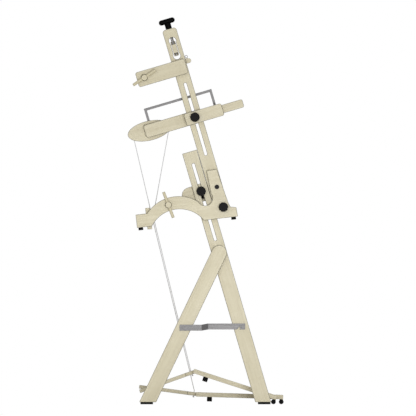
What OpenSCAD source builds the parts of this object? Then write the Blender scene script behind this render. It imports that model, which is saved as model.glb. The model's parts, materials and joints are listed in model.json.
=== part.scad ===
// Floor-standing tapestry loom: frame, beam kit, shed rocker, folding stand and treadles.
// The origin is on the floor, midway between the two sides. +Z is up, +X faces the weaver,
// and the weaver's left side is at negative Y.

/* [Frame] */
// Width over the outer faces of the wooden side boards
loom_w = 622; // [520:2:720]
// Thickness of every frame board
board_t = 19; // [18:0.5:20]
// Backward lean of the uprights from vertical
lean = 16.4; // [14:0.2:18]
// Distance between the knob that holds the base and the top of an upright
upright_h = 622.8; // [610:1:640]
// Width of an upright
upright_w = 48; // [44:1:50]
// Width of the adjusting slots
slot_w = 9.5; // [9:0.1:10]
// Width of the weaving space
weaving_w = 508; // [420:2:520]

/* [Stand] */
// Width of the posts and legs
post_w = 51; // [46:1:54]
// Height of the pivot that joins posts and legs
apex_z = 506.3; // [495:1:515]
// Spread of the legs from vertical
leg_spread = 25.6; // [25:0.1:27]
// Height of the steel braces above the floor
brace_z = 256; // [240:1:270]
// Thickness of the rubber pads
pad_t = 7; // [4:0.5:9]

/* [Treadles] */
// Length of a treadle lever from its rod to the knee
lever_l = 164; // [150:1:170]
// Length of a pedal from the knee to its end
pedal_l = 286; // [280:1:300]
// Width of a pedal
pedal_w = 104; // [80:1:110]
// Angle of the raised treadle lever above horizontal
lever_up = 19.7; // [15:0.1:22]
// Angle of the pressed treadle lever below horizontal
lever_down = 7.5; // [4:0.1:8]

/* [Shed] */
// Distance along the uprights from the base knob to the shed arms
shed_u = 315; // [300:1:330]
// Length of the cranks that the link joins
crank_l = 71; // [60:1:74]
// Length of the oval rocker
rocker_l = 146; // [120:1:160]
// Height of the oval rocker
rocker_h = 66; // [50:1:70]
// Thickness of the treadle cords
cord_d = 2.6; // [2:0.1:3.4]

/* [Beams] */
// Distance from the top of an upright down to the beam arms' mid-line
beam_drop = 134.3; // [130:0.1:138]
// Diameter of the warp and cloth beams
beam_d = 38; // [30:1:40]
// Diameter of a beam's hub
hub_d = 20; // [16:0.5:22]
// Diameter of the turning handles
handle_d = 10; // [8:0.5:11]
// Number of curls in the warp spacing coil
coil_turns = 80; // [40:1:90]
// Diameter over the coil
coil_d = 10; // [8:0.5:11]
// Thickness of the coil's wire
coil_wire = 1.6; // [1:0.1:2]

/* [Hidden] */
$fn = 64;

wood = "#d3cbae";
dark_wood = "#c3b48c";
steel = "#5f6266";
black = "#1d1d1f";
rubber = "#2b2b2d";
cord_grey = "#c9c9c9";

// Running clearance between boards that move past each other
gap = 0.2;
// Radial clearance of a shaft in its bore
fit = 0.05;

// Board layers on each side, measured out from the middle of the loom
out_y = loom_w / 2;
outer_y = out_y - board_t;
mid_y = outer_y - board_t;
inner_y = mid_y - board_t;

// Where the uprights' mid-line passes the base knob
loom_x = 53.86;
loom_z = 657.2;
// Post mid-line in the leaned frame
post_v = -50;
post_top = 209.5;
// The pivot of posts and legs
apex_u = (apex_z - loom_z - post_v * sin(lean)) / cos(lean);
apex_x = loom_x + post_v * cos(lean) - apex_u * sin(lean);
leg_l = (apex_z - pad_t) / cos(leg_spread);
// Both feet stand this far from the middle of the floor
foot_x = 196.3;
stretcher_u = apex_u - 132;
// Hidden dowels join the stretchers to the posts and legs
dowel_d = 8;
dowel_deep = 13;
stretcher_h = 64;
stretcher_board_t = 19;
pivot_d = 10;
pivot_deep = 14;
hook_screw_d = 5;
leg_stretcher_v = -16;
leg_stretcher_l = -200;
// Where the braces turn on the legs and hook over the posts
brace_l = (brace_z - apex_z) / cos(leg_spread);
leg_hook_x = apex_x + brace_l * sin(leg_spread);
hook_u = (brace_z + 4 - loom_z - post_v * sin(lean)) / cos(lean);
post_hook_x = loom_x + post_v * cos(lean) - hook_u * sin(lean);
brace_jog_x = -12.9;
brace_step_x = 7.9;
notch_slant = 45.5;
notch_w = 6.2;
// The base boards tilt less than the uprights
base_tilt = 6.5;

// Treadle rod and the two resting treadles
rod_x = -188.7;
rod_z = 54.5;
rod_d = 6.4;
rod_deep = 12;
treadle_y = 62;
lever_w = 60;
lever_t = 12;
tongue_w = 40;
pin_d = 5;
pedal_t = 15;
// The cord goes down through the tongue this far from the rod
cord_hole_x = lever_l - 13;
roller_r = 8;
wheel_t = 12;
roller_along = pedal_l - 6;
roller_drop = 16;
// A pedal slopes down so that its roller stands on the floor
function pedal_slope(lever) =
    let (knee = rod_z + lever_l * sin(lever), reach = norm([roller_along, roller_drop]))
    asin((knee - roller_r - 0.2) / reach) - atan2(roller_drop, roller_along);

// Cord eyes on the front of the rear stretcher, in the base frame
stretcher_x = -252.5;
stretcher_t = 15.7;
eye_x = -238.6;
eye_z = -7;
near_eye_y = -170;
far_eye_y = -135;
eye_r = 4.8;
eye_wire = 2.4;
// The eyes' shanks end just short of their holes
eye_tip = stretcher_x + 0.3;

// Loom frame details
window_low = upright_h - 93.4;
window_high = upright_h - 41.6;
rod_thick = 9.5;
board_mid_y = mid_y + board_t / 2;
// The slot that the shed knobs slide in
shed_slot = [182, upright_h - 188.3];
// The beam arms hang below the top of the uprights
beam_u = upright_h - beam_drop;
arm_screws = [beam_u - 14, beam_u + 14];
// The top beam hangs between the uprights, and its tenons are less high
tenon_low = window_low + 9.6;
tenon_h = 30;
top_beam_h = 50;
top_beam_t = 16;
base_low = -36.5;
coil_seat_u = upright_h - 110.4;
// The bottom bar and the brackets behind the uprights
bottom_bar_t = 19;
bottom_bar_h = 52;
bottom_bar_u = 45;
cap_v = 4.6;
cap_u = 70.9;
cap_d = 6;
mount_u = 71.7;
mount_d = 6;
base_knob_v = 6.4;
base_knob_d = 8;
// The base boards hang on the base knobs' studs
base_x = loom_x + base_knob_v * cos(lean);
base_z = loom_z + base_knob_v * sin(lean);

// Beams
warp_v = -125;
warp_u = beam_u + 1.3;
cloth_x = -181.8;
cloth_z = 28.1;
ratchet_r = 20;
ratchet_teeth = 24;
ratchet_y = outer_y - 8;
// The pawl's pivot seen from the beam's axis
pawl_x = 29;
pawl_z = 17.4;

// Shed motion
rocker_v = -152;
shed_v = 75;
rocker_tilt = 3.1;
rocker_shift = -7.5;
crank_y = inner_y - 17.5;
strap_t = 3;
cord_y = crank_y + 10;
// Where the cords leave the rocker, measured from its middle
cord_holes = [-56, 61];
heddle_rod_z = 16;
shed_bar_left = 8.5 - crank_y;
shed_shaft_d = 12;
heddle_rod_d = 6;
shed_knob_d = 8;
rocker_bolt_d = 8;

// Frames of reference

module loom_frame() translate([loom_x, 0, loom_z]) rotate([0, -lean, 0]) children();

module base_frame() translate([base_x, 0, base_z]) rotate([0, -base_tilt, 0]) children();

module leg_frame() translate([apex_x, 0, apex_z]) rotate([0, leg_spread, 0]) children();

// The lever's own X runs from the treadle rod to the knee
module lever_frame(side, angle)
    translate([rod_x, side * treadle_y, rod_z]) rotate([0, -angle, 0]) children();

// The pedal's own X runs from the knee to the roller
module pedal_frame(side, angle)
    translate([rod_x + lever_l * cos(angle), side * treadle_y, rod_z + lever_l * sin(angle)])
        rotate([0, pedal_slope(angle), 0]) children();

module at(x, z) translate([x, 0, z]) children();

// Every sided sub-part is written for the right side and mirrored for the left
module left() mirror([0, 1, 0]) children();

// Building blocks

// A flat board: an outline in X and Z, between two distances along Y
module board(from, to) translate([0, to, 0]) rotate([90, 0, 0]) linear_extrude(to - from) children();

// A round bar along Y
module bar(d, from, to) translate([0, from, 0]) rotate([-90, 0, 0]) cylinder(d = d, h = to - from);

// A washer or collar along Y
module ring(outer, inner, from, to) difference() {
    bar(outer, from, to);
    bar(inner, from - 1, to + 1);
}

// A plain block given by its limits
module block(x, y, z) translate([x[0], y[0], z[0]]) cube([x[1] - x[0], y[1] - y[0], z[1] - z[0]]);

// A rectangle with round corners
module plate(x, z, r) {
    translate([x[0] + r, z[0]]) square([x[1] - x[0] - 2 * r, z[1] - z[0]]);
    translate([x[0], z[0] + r]) square([x[1] - x[0], z[1] - z[0] - 2 * r]);
    for (cx = [x[0] + r, x[1] - r], cz = [z[0] + r, z[1] - r]) translate([cx, cz]) circle(r);
}

// An upright slot with round ends
module slot(w, z) {
    translate([-w / 2, z[0] + w / 2]) square([w, z[1] - z[0] - w]);
    for (end = [z[0] + w / 2, z[1] - w / 2]) translate([0, end]) circle(d = w);
}

// Everything below a level height, for cutting feet flat on the floor pads
module below(z) translate([-600, -500, z - 400]) cube([1200, 1000, 400]);

// Threads are left plain. The head is a flat disc with a hexagon socket.
module bolt(d, from, to, head_d, head_t) {
    bar(d, from, to);
    difference() {
        bar(head_d, to, to + head_t);
        translate([0, to + head_t / 2, 0]) rotate([-90, 0, 0]) cylinder(d = d * 0.7, h = head_t, $fn = 6);
    }
}

// A square nut with a plain bore
module nut(size, bore, from, to) difference() {
    block([-size / 2, size / 2], [from, to], [-size / 2, size / 2]);
    bar(bore, from - 1, to + 1);
}

// A black hand knob with flutes round its rim, on a steel stud
module clamp_knob(stud_d, tip, face) {
    flutes = 10;
    difference() {
        union() {
            bar(18, face + gap, face + 5);
            bar(32, face + 5, face + 19);
        }
        for (i = [0 : flutes - 1]) rotate([0, i * 360 / flutes, 0]) at(17.4, 0) bar(4.6, face + 4, face + 20);
    }
    bar(stud_d, tip, face + 5);
}

// Stand

module right_post() color(wood) difference() {
    loom_frame() at(post_v, 0) difference() {
        board(mid_y + gap, outer_y - gap) translate([-post_w / 2, -760]) square([post_w, 760 + post_top]);
        board(mid_y - 1, outer_y + 1) slot(slot_w, [-100.3, 168.5]);
        at(0, apex_u) bar(pivot_d + 2 * fit, mid_y - 1, outer_y + 1);
        at(0, stretcher_u) dowel_holes(mid_y);
        at(0, hook_u) bar(hook_screw_d, outer_y - 16, outer_y + 1);
    }
    below(pad_t);
}
module left_post() left() right_post();

// Two dowels join a stretcher's end to the board that starts at face
module dowels(face) for (u = [-16, 16]) at(0, u) bar(dowel_d, face - 25, face + dowel_deep);
module dowel_holes(face) for (u = [-16, 16]) at(0, u) bar(dowel_d, face - 26, face + dowel_deep + 1);
module stretcher(face) {
    difference() {
        block([-stretcher_board_t / 2, stretcher_board_t / 2], [-face - gap, face + gap],
            [-stretcher_h / 2, stretcher_h / 2]);
        for (s = [0, 1]) mirror([0, s, 0]) dowel_holes(face);
    }
    for (s = [0, 1]) mirror([0, s, 0]) dowels(face);
}

module post_stretcher() color(wood) loom_frame() at(post_v, stretcher_u) stretcher(mid_y);

// One rubber pad under each foot of a pair, with its fixing nail
module pad_pair(x, from) {
    for (s = [0, 1]) mirror([0, s, 0]) block([x - 21, x + 21], [from + gap, from + board_t - gap], [0, pad_t]);
}

module post_pads() color(rubber) pad_pair(foot_x, mid_y);

// Pivot bolts that enter the legs from inside, and the screws that the braces hook over
module stand_bolts() color(steel) for (s = [0, 1]) mirror([0, s, 0]) {
    loom_frame() at(post_v, apex_u) {
        bar(pivot_d, mid_y - 2, outer_y + pivot_deep - 0.3);
        difference() {
            bar(19, mid_y - 7, mid_y);
            bar(pivot_d * 0.7, mid_y - 8, mid_y - 3, $fn = 6);
        }
    }
    loom_frame() at(post_v, hook_u) {
        bar(hook_screw_d, outer_y - 15, outer_y + strap_t + 1);
        bar(9, outer_y + strap_t + 0.6, outer_y + strap_t + 3);
    }
}

module right_leg() color(wood) difference() {
    leg_frame() difference() {
        board(outer_y + gap, out_y) union() {
            translate([-post_w / 2, -700]) square([post_w, 700]);
            circle(d = post_w);
        }
        bar(pivot_d + 2 * fit, outer_y - 1, outer_y + pivot_deep);
        at(leg_stretcher_v, leg_stretcher_l) dowel_holes(outer_y);
        at(0, brace_l) bar(hook_screw_d, out_y - 16, out_y + 1);
    }
    at(rod_x, rod_z) bar(rod_d, outer_y - 1, outer_y + rod_deep);
    below(pad_t);
}
module left_leg() left() right_leg();

module leg_stretcher() color(wood) leg_frame() at(leg_stretcher_v, leg_stretcher_l) stretcher(outer_y);

module leg_pads() color(rubber) pad_pair(-foot_x, outer_y);

// The screws that the braces turn on
module leg_screws() color(steel) for (s = [0, 1]) mirror([0, s, 0]) leg_frame() at(0, brace_l) {
    bar(hook_screw_d, out_y - 15, out_y + strap_t + 1);
    bar(9, out_y + strap_t + 0.6, out_y + strap_t + 3);
}

// The rod that both treadles turn on, held in the legs, and the collars beside each lever
module treadle_rod() color(steel) at(rod_x, rod_z) {
    bar(rod_d, -outer_y - rod_deep, outer_y + rod_deep);
    for (s = [0, 1], y = [treadle_y - lever_w / 2 - 6, treadle_y + lever_w / 2]) mirror([0, s, 0])
        ring(13, rod_d, y + 0.3, y + 5.7);
}

// A steel brace runs along the outside of a leg and steps in to the outside of the post.
// Its far end has a slanted notch that drops over the post's screw.
module right_brace() difference() {
    union() {
        board(out_y + gap, out_y + gap + strap_t) translate([leg_hook_x - 12.8, brace_z - 10])
            square([brace_jog_x - leg_hook_x + 12.8, 20]);
        hull() {
            block([brace_jog_x - 1, brace_jog_x], [out_y + gap, out_y + gap + strap_t], [brace_z - 10, brace_z + 10]);
            block([brace_step_x, brace_step_x + 1], [outer_y + gap, outer_y + gap + strap_t],
                [brace_z - 6, brace_z + 14]);
        }
        board(outer_y + gap, outer_y + gap + strap_t) translate([brace_step_x, brace_z - 6])
            square([post_hook_x + 13.6 - brace_step_x, 20]);
    }
    at(leg_hook_x, brace_z) bar(hook_screw_d + 2 * fit, outer_y - 1, out_y + 9);
    board(outer_y - 1, outer_y + 9) translate([post_hook_x, brace_z + 4]) {
        circle(d = notch_w);
        rotate(notch_slant) translate([-30, -notch_w / 2]) square([30, notch_w]);
    }
}

module braces() color(steel) {
    right_brace();
    left() right_brace();
}

// Treadles

module treadle_lever(side, angle) color(wood) lever_frame(side, angle) difference() {
    union() {
        block([-33, lever_l - 34], [-lever_w / 2, lever_w / 2], [-lever_t / 2, lever_t / 2]);
        block([lever_l - 34, lever_l], [-tongue_w / 2, tongue_w / 2], [-lever_t / 2, lever_t / 2]);
        at(lever_l, 0) bar(lever_t, -tongue_w / 2, tongue_w / 2);
    }
    bar(rod_d + 2 * fit, -lever_w, lever_w);
    at(lever_l, 0) bar(pin_d + 2 * fit, -lever_w, lever_w);
    at(cord_hole_x, 0) cylinder(d = 4, h = 20, center = true);
}
module left_treadle_lever() treadle_lever(-1, lever_up);
module right_treadle_lever() treadle_lever(1, -lever_down);

// The pedal board, the block under its end, and the steel pin on which it turns at the knee
module pedal(side, angle) color(wood) pedal_frame(side, angle) {
    half = pedal_w / 2;
    difference() {
        union() {
            board(-half, half) plate([-6, pedal_l], [-pedal_t / 2, pedal_t / 2], 3);
            board(wheel_t - half + 2, half - wheel_t - 2) translate([roller_along, -roller_drop]) {
                circle(r = 6);
                translate([-6, 0]) square([12, roller_drop - 7]);
            }
        }
        block([-20, 9], [-tongue_w / 2 - 0.5, tongue_w / 2 + 0.5], [-9, 9]);
        bar(pin_d, -pedal_w, pedal_w);
        at(roller_along, -roller_drop) bar(pin_d + 2 * fit, -pedal_w, pedal_w);
    }
    bar(pin_d, -half, half);
}
module left_pedal() pedal(-1, lever_up);
module right_pedal() pedal(1, -lever_down);

module pedal_bumper(side, angle) color(rubber) pedal_frame(side, angle)
    block([31.5, 48.5], [-30, 30], [-pedal_t / 2 - 15, -pedal_t / 2]);
module left_pedal_bumper() pedal_bumper(-1, lever_up);
module right_pedal_bumper() pedal_bumper(1, -lever_down);

// Two black wheels on one axle
module roller(side, angle) color(rubber) pedal_frame(side, angle) at(roller_along, -roller_drop) {
    bar(pin_d, -pedal_w / 2, pedal_w / 2);
    for (s = [0, 1]) mirror([0, s, 0]) bar(2 * roller_r, pedal_w / 2 - wheel_t, pedal_w / 2);
}
module left_roller() roller(-1, lever_up);
module right_roller() roller(1, -lever_down);

// Loom frame

module right_upright() color(wood) loom_frame() difference() {
    board(mid_y, outer_y) difference() {
        plate([-upright_w / 2, upright_w / 2], [-20, upright_h], 10);
        slot(slot_w, shed_slot);
        translate([0, window_low]) circle(r = 12);
        translate([0, window_high]) circle(r = 12);
        translate([-9.5, window_low]) square([19, window_high - window_low]);
    }
    translate([0, board_mid_y, window_high]) cylinder(d = rod_thick + 2 * fit, h = 80);
    at(base_knob_v, 0) bar(base_knob_d + 2 * fit, mid_y - 1, outer_y + 1);
    at(cap_v, cap_u) bar(cap_d, mid_y - 1, outer_y + 1);
    for (u = arm_screws) at(8, u) bar(5, mid_y - 1, outer_y + 1);
}
module left_upright() left() right_upright();

// The base board: a foot, an arch that carries the cloth beam, and an arm up the outside of the upright
module base_outline() {
    translate([-294.5, base_low]) square([50, 44.5]);
    difference() {
        translate([-158.6, -70.7]) circle(r = 124.8);
        translate([-157.2, -94.5]) circle(r = 104.8);
        translate([-300, -300]) square([300, 300 + base_low]);
        translate([-80, -100]) square([100, 200]);
    }
    difference() {
        polygon([[-82, base_low], [44.7, base_low], [42.8, -4.9], [24, -1.7], [18.2, 12.1],
            [-8.2, 128.8], [-42.7, 127.3], [-34, 31], [-86, 31], [-80, 20]]);
        translate([-57.6, 36.9]) circle(r = 25.4);
        translate([-157.2, -94.5]) circle(r = 104.8);
    }
}

module right_base() color(wood) difference() {
    base_frame() board(outer_y, out_y) difference() {
        base_outline();
        translate([cloth_x, cloth_z]) circle(d = hub_d + 2 * fit);
        circle(d = base_knob_d + 2 * fit);
    }
    loom_frame() at(cap_v, cap_u) bar(cap_d, outer_y - 1, out_y + 1);
    base_frame() at(cloth_x + pawl_x, cloth_z + pawl_z) bar(5 + 2 * fit, outer_y - 1, outer_y + 8);
}
module left_base() left() right_base();

module rear_stretcher() color(wood) base_frame() difference() {
    block([stretcher_x - stretcher_t / 2, stretcher_x + stretcher_t / 2], [-outer_y, outer_y], [-45.9, 26.1]);
    for (y = [near_eye_y, far_eye_y])
        translate([stretcher_x, y, eye_z]) rotate([0, 90, 0]) cylinder(d = eye_wire + 2 * fit, h = 20);
}

module bottom_bar() color(wood) loom_frame() difference() {
    block([cap_v - bottom_bar_t / 2, cap_v + bottom_bar_t / 2], [-inner_y, inner_y],
        [bottom_bar_u, bottom_bar_u + bottom_bar_h]);
    for (s = [0, 1]) mirror([0, s, 0]) at(cap_v, cap_u) bar(cap_d, inner_y - 22, inner_y + 1);
}

// The bracket that clamps the loom to its post, with the key that slides in the post's slot
module right_mount_bracket() color(wood) loom_frame() difference() {
    union() {
        board(inner_y, mid_y) {
            translate([-90, 37]) square([114, 59]);
            translate([-117, 37]) square([141, 32]);
            translate([-90, 69]) circle(r = 27);
            translate([-24, -20]) square([48, 116]);
        }
        block([post_v - 4.6, post_v + 4.6], [mid_y - 1, outer_y - 1.5], [45, 97.6]);
    }
    at(post_v, mount_u) bar(mount_d + 2 * fit, inner_y - 1, outer_y);
    at(base_knob_v, 0) bar(base_knob_d + 2 * fit, inner_y - 1, outer_y);
    at(cap_v, cap_u) bar(cap_d, inner_y - 1, outer_y);
}
module left_mount_bracket() left() right_mount_bracket();

module base_bumpers() color(rubber) base_frame()
    for (s = [0, 1], x = [-282.3, 29.8]) mirror([0, s, 0])
        translate([x, out_y - board_t / 2, base_low - 9]) cylinder(d = 16, h = 9);

// Black cap screws, the nuts behind the clamp studs, the beam arms' screws and the two cord eyes
module loom_fasteners() color(black) {
    for (s = [0, 1]) mirror([0, s, 0]) loom_frame() {
        at(cap_v, cap_u) bolt(cap_d, inner_y - 20, out_y, 15, 4);
        at(post_v, mount_u) nut(13, mount_d + 2 * fit, inner_y - 5, inner_y);
        at(base_knob_v, 0) nut(14, base_knob_d + 2 * fit, inner_y - 5, inner_y);
        for (u = arm_screws) at(8, u) {
            bar(5, mid_y - 1, out_y - 6);
            bar(9, mid_y - 2.5, mid_y);
        }
    }
    base_frame() for (y = [near_eye_y, far_eye_y]) {
        translate([eye_x, y, eye_z]) rotate_extrude() translate([eye_r, 0]) circle(d = eye_wire, $fn = 24);
        translate([eye_tip, y, eye_z]) rotate([0, 90, 0]) cylinder(d = eye_wire, h = eye_x - eye_r - eye_tip);
    }
}

module coil_bar() color(wood) loom_frame() board(-outer_y, outer_y) {
    translate([upright_w / 2, coil_seat_u - 18]) square([9.4, 18]);
    translate([33.4, coil_seat_u - 10]) circle(r = 8);
}

// Warp spacing coil: one unbroken wire, with its rings placed along a helix

coil_r = (coil_d - coil_wire) / 2;
coil_pitch = weaving_w / coil_turns;
coil_steps = 8;
coil_sides = 6;
coil_rings = coil_turns * coil_steps;
function coil_point(i) =
    let (a = i * 360 / coil_steps)
    [coil_r * cos(a), (i / coil_steps) * coil_pitch - weaving_w / 2, coil_r * sin(a)];
// The wire's cross-section, square to its slope along the helix
function coil_ring(i) =
    let (
        a = i * 360 / coil_steps,
        slope = atan2(coil_pitch, 2 * PI * coil_r),
        out = [cos(a), 0, sin(a)],
        side = [sin(slope) * sin(a), cos(slope), -sin(slope) * cos(a)]
    )
    [for (k = [0 : coil_sides - 1])
        let (t = k * 360 / coil_sides)
        coil_point(i) + coil_wire / 2 * (cos(t) * out + sin(t) * side)];
// The least gap between the wire and its next turn
coil_gap = min([for (k = [coil_steps / 2 : coil_steps * 2]) norm(coil_point(k) - coil_point(0))]) - coil_wire;
echo(coil_gap = coil_gap);

module tube_mesh(rings, sides) {
    last = len(rings) - 1;
    polyhedron(
        points = [for (ring = rings) each ring],
        faces = concat(
            [[for (k = [0 : sides - 1]) k]],
            [[for (k = [sides - 1 : -1 : 0]) last * sides + k]],
            [for (i = [0 : last - 1], k = [0 : sides - 1])
                let (n = (k + 1) % sides)
                each [
                    [i * sides + k, (i + 1) * sides + k, (i + 1) * sides + n],
                    [i * sides + k, (i + 1) * sides + n, i * sides + n]
                ]]
        )
    );
}

module warp_coil() color(steel) loom_frame() at(29.1, coil_seat_u + coil_d / 2 + 0.15)
    tube_mesh([for (i = [0 : coil_rings]) coil_ring(i)], coil_sides);

// Beam kit

module right_beam_arm() color(wood) loom_frame() difference() {
    board(outer_y, out_y) plate([-150.5, 20.6], [beam_u - 25.5, beam_u + 25.5], 7);
    at(warp_v, warp_u) bar(hub_d + 2 * fit, outer_y - 1, out_y + 1);
    at(warp_v + pawl_x, warp_u + pawl_z) bar(5 + 2 * fit, outer_y - 1, outer_y + 8);
    for (u = arm_screws) at(8, u) bar(5, outer_y - 1, out_y - 6);
}
module left_beam_arm() left() right_beam_arm();

// A wooden beam with turned hubs, and a dowel through its left hub to turn it by
module beam(handle_angle, handle_l) difference() {
    union() {
        bar(beam_d, 12 - outer_y, outer_y - 0.3);
        bar(hub_d, -out_y - 20, out_y + 2);
        translate([0, handle_y, 0]) rotate([0, handle_angle, 0]) cylinder(d = handle_d, h = handle_l, center = true);
    }
    // A thin ring parts the dowel from the hub
    translate([0, handle_y, 0]) rotate([0, handle_angle, 0]) difference() {
        cylinder(d = handle_d + 2 * fit, h = handle_l + 2, center = true);
        cylinder(d = handle_d, h = handle_l + 4, center = true);
    }
}
handle_y = -out_y - 11;
module warp_beam() color(dark_wood) loom_frame() at(warp_v, warp_u) beam(90 - 17.8, 90);
module cloth_beam() color(dark_wood) base_frame() at(cloth_x, cloth_z) beam(base_tilt - 20.9, 92);

// A toothed steel ring beside the left arm
module ratchet() left() difference() {
    step = 360 / ratchet_teeth;
    board(ratchet_y - 3, ratchet_y + 3) polygon([for (i = [0 : ratchet_teeth - 1]) each [
        ratchet_r * [cos(i * step), sin(i * step)],
        (ratchet_r - 3) * [cos(i * step + step - 1), sin(i * step + step - 1)]
    ]]);
    bar(hub_d, ratchet_y - 4, ratchet_y + 4);
}
module warp_ratchet() color(steel) loom_frame() at(warp_v, warp_u) ratchet();
module cloth_ratchet() color(steel) base_frame() at(cloth_x, cloth_z) ratchet();

// A pawl whose stub turns in the board outside it
module pawl() left() {
    board(ratchet_y - 2.5, ratchet_y + 2.5) {
        circle(r = 4);
        polygon([[0, 4], [0, -4], [-3, -2.6], [-19, 0.35], [-23.9, -0.55], [-23.5, 1.2], [-17, 3.4]]);
    }
    bar(8, ratchet_y + 2.5, outer_y - gap);
    bar(5, ratchet_y, outer_y + 7.5);
}
module warp_pawl() color(steel) loom_frame() at(warp_v + pawl_x, warp_u + pawl_z) pawl();
module cloth_pawl() color(steel) base_frame() at(cloth_x + pawl_x, cloth_z + pawl_z) pawl();

// Warp tension

module top_beam() color(wood) loom_frame() difference() {
    union() {
        block([-top_beam_t / 2, top_beam_t / 2], [gap - mid_y, mid_y - gap],
            [tenon_low - (top_beam_h - tenon_h) / 2, tenon_low + (top_beam_h + tenon_h) / 2]);
        block([-top_beam_t / 2, top_beam_t / 2], [-outer_y, outer_y], [tenon_low, tenon_low + tenon_h]);
    }
    for (s = [0, 1]) mirror([0, s, 0])
        translate([0, board_mid_y, window_low - 29]) cylinder(d = rod_thick + 2 * fit, h = 120);
}

// A black T-handle on the threaded rod that raises and lowers the top beam
module right_tension_knob() color(black) loom_frame() translate([0, board_mid_y, 0]) {
    translate([0, 0, window_low + 1.6]) cylinder(d = rod_thick, h = upright_h - window_low + 6.6);
    translate([0, 0, upright_h + gap]) cylinder(d = 21, h = 20);
    translate([-18.7, 0, upright_h + 25.8]) rotate([0, 90, 0]) cylinder(d = 17.6, h = 37.4);
    for (x = [-18.7, 18.7]) translate([x, 0, upright_h + 25.8]) sphere(d = 17.6);
}
module left_tension_knob() left() right_tension_knob();

// Clamp knobs

module right_shed_knob() color(black) loom_frame() at(0, shed_u) clamp_knob(shed_knob_d, mid_y - 9, out_y);
module left_shed_knob() color(black) loom_frame() at(0, shed_u) left() clamp_knob(shed_knob_d, inner_y - 9, out_y);
module right_mount_knob() color(black) loom_frame() at(post_v, mount_u) clamp_knob(mount_d, inner_y - 7, outer_y);
module left_mount_knob() left() right_mount_knob();
module right_base_knob() color(black) loom_frame() at(base_knob_v, 0) clamp_knob(base_knob_d, inner_y - 7, out_y);
module left_base_knob() left() right_base_knob();

// Shed carriage: it slides on both uprights and carries the rocker, the link and the shed bar

module right_shed_arm() color(wood) loom_frame() difference() {
    board(outer_y + gap, out_y) plate([-33.5, 96.5], [shed_u - 21.3, shed_u + 20.7], 6);
    at(0, shed_u) bar(shed_knob_d + 2 * fit, outer_y - 1, out_y + 1);
    at(shed_v, shed_u) bar(shed_shaft_d + 2 * fit, outer_y - 1, out_y - 5);
}
module left_shed_arm() left() right_shed_arm();

module rocker_arm() color(wood) left() loom_frame() difference() {
    board(inner_y, mid_y - gap) plate([-174, 24], [shed_u - 22, shed_u + 22], 8);
    at(0, shed_u) bar(shed_knob_d + 2 * fit, inner_y - 1, mid_y);
    at(rocker_v, shed_u) bar(rocker_bolt_d, inner_y - 1, mid_y - 6);
}

// The nuts behind the shed knobs, and the bolt that the rocker turns on
module carriage_fasteners() color(steel) loom_frame() {
    at(0, shed_u) nut(14, shed_knob_d + 2 * fit, mid_y - 6, mid_y - gap);
    left() at(0, shed_u) nut(14, shed_knob_d + 2 * fit, inner_y - 6, inner_y);
    left() at(rocker_v, shed_u) {
        bar(rocker_bolt_d, crank_y - 0.2, mid_y - 6.3);
        bar(14, crank_y - 4, crank_y - 0.2);
    }
}

// Height of the rocker's edge at a distance from its middle
function oval_edge(x) = rocker_h / 2 * sqrt(1 - pow(2 * x / rocker_l, 2));
function oval(a) = [rocker_l / 2 * cos(a), rocker_h / 2 * sin(a)];
module rocker() color(wood) left() loom_frame() difference() {
    board(crank_y + strap_t + 0.5, inner_y - 0.3)
        translate([rocker_v + rocker_shift, shed_u]) rotate(-rocker_tilt)
            polygon([for (i = [0 : 71]) oval(i * 5)]);
    at(rocker_v, shed_u) bar(rocker_bolt_d + 2 * fit, crank_y, inner_y);
    // Pockets for the cords' knots on the inner face, and holes down to the edge
    at(rocker_v + rocker_shift, shed_u) rotate([0, rocker_tilt, 0]) for (x = cord_holes) at(x, 0) {
        bar(8, crank_y, cord_y + 4);
        translate([0, cord_y, -rocker_h]) cylinder(d = 4, h = rocker_h);
    }
}

// A flat steel crank: a hub, a strap, and the pin that the link turns on
module crank(bore) {
    difference() {
        board(crank_y, crank_y + strap_t + 0.5) {
            circle(r = 9.5);
            translate([-4.25, 0]) square([8.5, crank_l + 4.25]);
        }
        bar(bore, crank_y - 1, crank_y + 9);
    }
    at(0, crank_l) bar(5, crank_y - strap_t - 1, crank_y + 1);
}
module rocker_crank() color(steel) left() loom_frame() at(rocker_v, shed_u) crank(rocker_bolt_d + 2 * fit);

module link() color(steel) left() loom_frame() at(0, shed_u + crank_l) difference() {
    board(crank_y - strap_t - 0.3, crank_y - 0.3) {
        translate([rocker_v - 4.25, -4.25]) square([shed_v - rocker_v + 8.5, 8.5]);
    }
    at(rocker_v, 0) bar(5 + 2 * fit, crank_y - 9, crank_y + 1);
    at(shed_v, 0) bar(5.5, crank_y - 9, crank_y + 1);
}

// The steel shaft with its crank, and the two heddle rods that it carries
module shed_shaft() color(steel) loom_frame() at(shed_v, shed_u) {
    bar(shed_shaft_d, 5.3 - out_y, out_y - 5.3);
    left() crank(shed_shaft_d - 1);
    for (z = [-heddle_rod_z, heddle_rod_z]) at(0, z) bar(heddle_rod_d, shed_bar_left, inner_y);
}

module shed_bar() color(wood) loom_frame() at(shed_v, shed_u) difference() {
    block([-8, 8], [shed_bar_left, inner_y], [-heddle_rod_z, heddle_rod_z]);
    bar(shed_shaft_d, -inner_y, inner_y);
    for (z = [-heddle_rod_z, heddle_rod_z]) at(0, z) bar(heddle_rod_d, -out_y, out_y);
}

module shed_lever() color(wood) left() loom_frame() difference() {
    board(mid_y + gap, outer_y - gap) plate([shed_v - 14, 168], [shed_u - 14, shed_u + 14], 6);
    at(shed_v, shed_u) bar(shed_shaft_d, mid_y - 1, outer_y + 1);
}

// Treadle cords

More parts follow.
